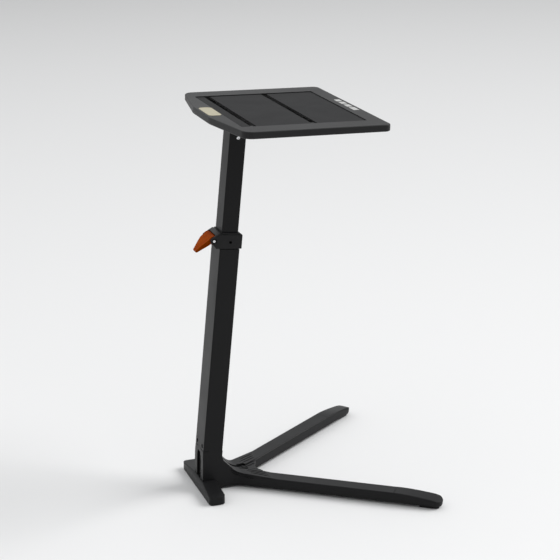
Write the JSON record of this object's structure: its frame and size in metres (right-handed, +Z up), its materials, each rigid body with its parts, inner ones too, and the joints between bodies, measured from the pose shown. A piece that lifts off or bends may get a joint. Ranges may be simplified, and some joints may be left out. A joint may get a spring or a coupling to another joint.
{
  "type": "bike trainer desk",
  "caption": "Height-adjustable desk for a bicycle trainer: splayed legs, leaning telescopic post with a lever clamp, and a tray top with device grooves.",
  "frame": {"origin": "middle of the bounding box's underside, on the floor", "axes": "+X towards the rider, along the legs; +Y towards the rider's right; +Z up"},
  "size_m": [0.5623, 0.6786, 1.0009],
  "materials": {
    "base_metal": "satin black powder coat",
    "tube_metal": "satin black powder coat, fine texture",
    "moulded_black": "moulded black plastic",
    "tray_plastic": "fine grained charcoal plastic",
    "mat_rubber": "soft matt rubber sheet",
    "pad_rubber": "matt black rubber",
    "lever_plastic": "burnt orange glass filled plastic, low gloss",
    "pin_steel": "turned bright steel",
    "fastener_steel": "black oxide",
    "plate_metal": "pale gold anodised, plain"
  },
  "bodies": {
    "base": {"foot_bar": "base_metal", "leg_right": "base_metal", "leg_left": "base_metal", "base_hub": "base_metal", "lower_tube": "tube_metal", "clamp_collar": "moulded_black", "collar_liner": "moulded_black", "foot_pad_left": "pad_rubber", "foot_pad_right": "pad_rubber", "toe_pad_right": "pad_rubber", "toe_pad_left": "pad_rubber", "lever_pin": "pin_steel", "foot_bolt_left": "fastener_steel", "foot_bolt_right": "fastener_steel", "tube_screw_left": "fastener_steel", "tube_screw_right": "fastener_steel", "collar_screw_left": "fastener_steel", "collar_screw_right": "fastener_steel", "pin_ring_left": "fastener_steel", "pin_ring_right": "fastener_steel"},
    "mast": {"upper_tube": "tube_metal", "tube_glide": "moulded_black", "cross_bolt": "pin_steel", "cross_nut": "pin_steel", "tray_bracket": "tube_metal", "table_tray": "tray_plastic", "tray_cover": "moulded_black", "front_plate": "plate_metal", "mat_front": "mat_rubber", "mat_middle": "mat_rubber", "mat_rear": "mat_rubber", "bracket_screw_front_left": "fastener_steel", "bracket_screw_rear_left": "fastener_steel", "bracket_screw_rear_right": "fastener_steel", "bracket_screw_front_right": "fastener_steel", "cover_screw_front_left": "fastener_steel", "cover_screw_front_right": "fastener_steel", "cover_screw_middle_left": "fastener_steel", "cover_screw_middle_right": "fastener_steel", "cover_screw_rear_left": "fastener_steel", "cover_screw_rear_right": "fastener_steel"},
    "lever": {"clamp_lever": "lever_plastic"},
    "shoe": {"clamp_shoe": "moulded_black"}
  },
  "joints": [
    {"name": "height_slide", "type": "slide", "parent": "base", "child": "mast", "axis": [0.0948, 0, 0.9955], "range_m": [-0.228, 0.15]},
    {"name": "lever_open", "type": "hinge", "parent": "base", "child": "lever", "pos_m": [-0.23263, 0, 0.67866], "axis": [0, 1, 0], "range_deg": [0, 88]},
    {"name": "shoe_press", "type": "slide", "parent": "base", "child": "shoe", "axis": [-0.9955, 0, 0.0948], "range_m": [0, 0.0012]}
  ],
  "couplings": [
    {"joint": "shoe_press", "follows": "lever_open", "m_per_rad": 0.000724}
  ]
}
